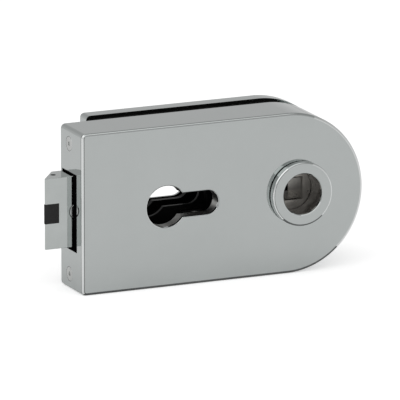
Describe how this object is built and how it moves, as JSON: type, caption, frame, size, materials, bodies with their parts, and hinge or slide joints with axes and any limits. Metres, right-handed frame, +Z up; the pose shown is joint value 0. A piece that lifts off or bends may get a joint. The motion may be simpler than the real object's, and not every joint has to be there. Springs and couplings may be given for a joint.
{
  "type": "glass door patch lock",
  "caption": "Patch lock for a frameless glass door with a bevelled sprung latch, a handle follower, a profile cylinder cut-out and a clamping plate behind the pane.",
  "frame": {"origin": "on the handle axis, in the plane of the case's front face", "axes": "+X along the lock from the latch to the round end, -Y out of the front face, +Z up"},
  "size_m": [0.1479, 0.0466, 0.072],
  "materials": {
    "polished_steel": "polished stainless steel",
    "screw_steel": "bright zinc",
    "die_cast": "as cast, matt",
    "plate_steel": "zinc plated sheet",
    "pin_steel": "bright turned",
    "spring_steel": "drawn wire",
    "black_plastic": "matt black",
    "bush_plastic": "matt dark grey",
    "insert_plastic": "satin black",
    "liner_rubber": "matt black"
  },
  "bodies": {
    "case": {"front_cover": "polished_steel", "rear_cover": "polished_steel", "front_handle_ring": "polished_steel", "rear_handle_ring": "polished_steel", "side_screws": "screw_steel", "lid_screws": "screw_steel", "rear_cover_screws": "screw_steel", "clamp_screws": "screw_steel", "cylinder_screw": "screw_steel", "lock_case": "die_cast", "case_lid": "plate_steel", "rear_plate": "plate_steel", "front_ring_nut": "plate_steel", "rear_ring_nut": "plate_steel", "slide_guide_pins": "pin_steel", "latch_spring_rod": "pin_steel", "return_spring_rod": "pin_steel", "lever_pivot": "pin_steel", "lever_spacer": "pin_steel", "deadlock_pivot": "pin_steel", "latch_spring": "spring_steel", "return_spring": "spring_steel", "latch_guide": "black_plastic", "cylinder_spacer": "black_plastic", "spindle_spacer": "black_plastic", "clamp_sleeves": "black_plastic", "front_bush": "bush_plastic", "rear_bush": "bush_plastic", "front_gasket": "liner_rubber", "rear_gasket": "liner_rubber"},
    "follower": {"follower": "plate_steel"},
    "drive": {"drive_slide": "plate_steel", "drive_pin": "pin_steel"},
    "latch": {"latch_bolt": "polished_steel", "latch_insert": "insert_plastic", "insert_pin": "pin_steel", "latch_screw": "screw_steel", "latch_shank": "plate_steel"},
    "change_lever": {"change_lever": "plate_steel"},
    "deadlock": {"deadlock_lever": "plate_steel"}
  },
  "joints": [
    {"name": "handle_turn", "type": "hinge", "parent": "case", "child": "follower", "pos_m": [0, 0.015, 0], "axis": [0, 1, 0], "range_deg": [0, 40]},
    {"name": "drive_travel", "type": "slide", "parent": "case", "child": "drive", "axis": [1, 0, 0], "range_m": [0, 0.013], "stiffness_N_per_m": 1000, "springref_m": -0.004, "deforming": ["return_spring", "latch_spring"]},
    {"name": "change_lever_turn", "type": "hinge", "parent": "case", "child": "change_lever", "pos_m": [-0.0315, 0.01655, -0.012], "axis": [0, 1, 0], "range_deg": [0, 23.62]},
    {"name": "latch_travel", "type": "slide", "parent": "drive", "child": "latch", "axis": [1, 0, 0], "range_m": [0, 0.013], "stiffness_N_per_m": 450, "springref_m": -0.005, "deforming": ["latch_spring"]},
    {"name": "deadlock_turn", "type": "hinge", "parent": "case", "child": "deadlock", "pos_m": [-0.0705, 0.00515, 0.0204], "axis": [0, -1, 0], "range_deg": [0, 7.54]}
  ],
  "couplings": [
    {"joint": "handle_turn", "follows": "drive_travel", "rad_per_m": 53.715},
    {"joint": "change_lever_turn", "follows": "drive_travel", "rad_per_m": 31.72}
  ]
}
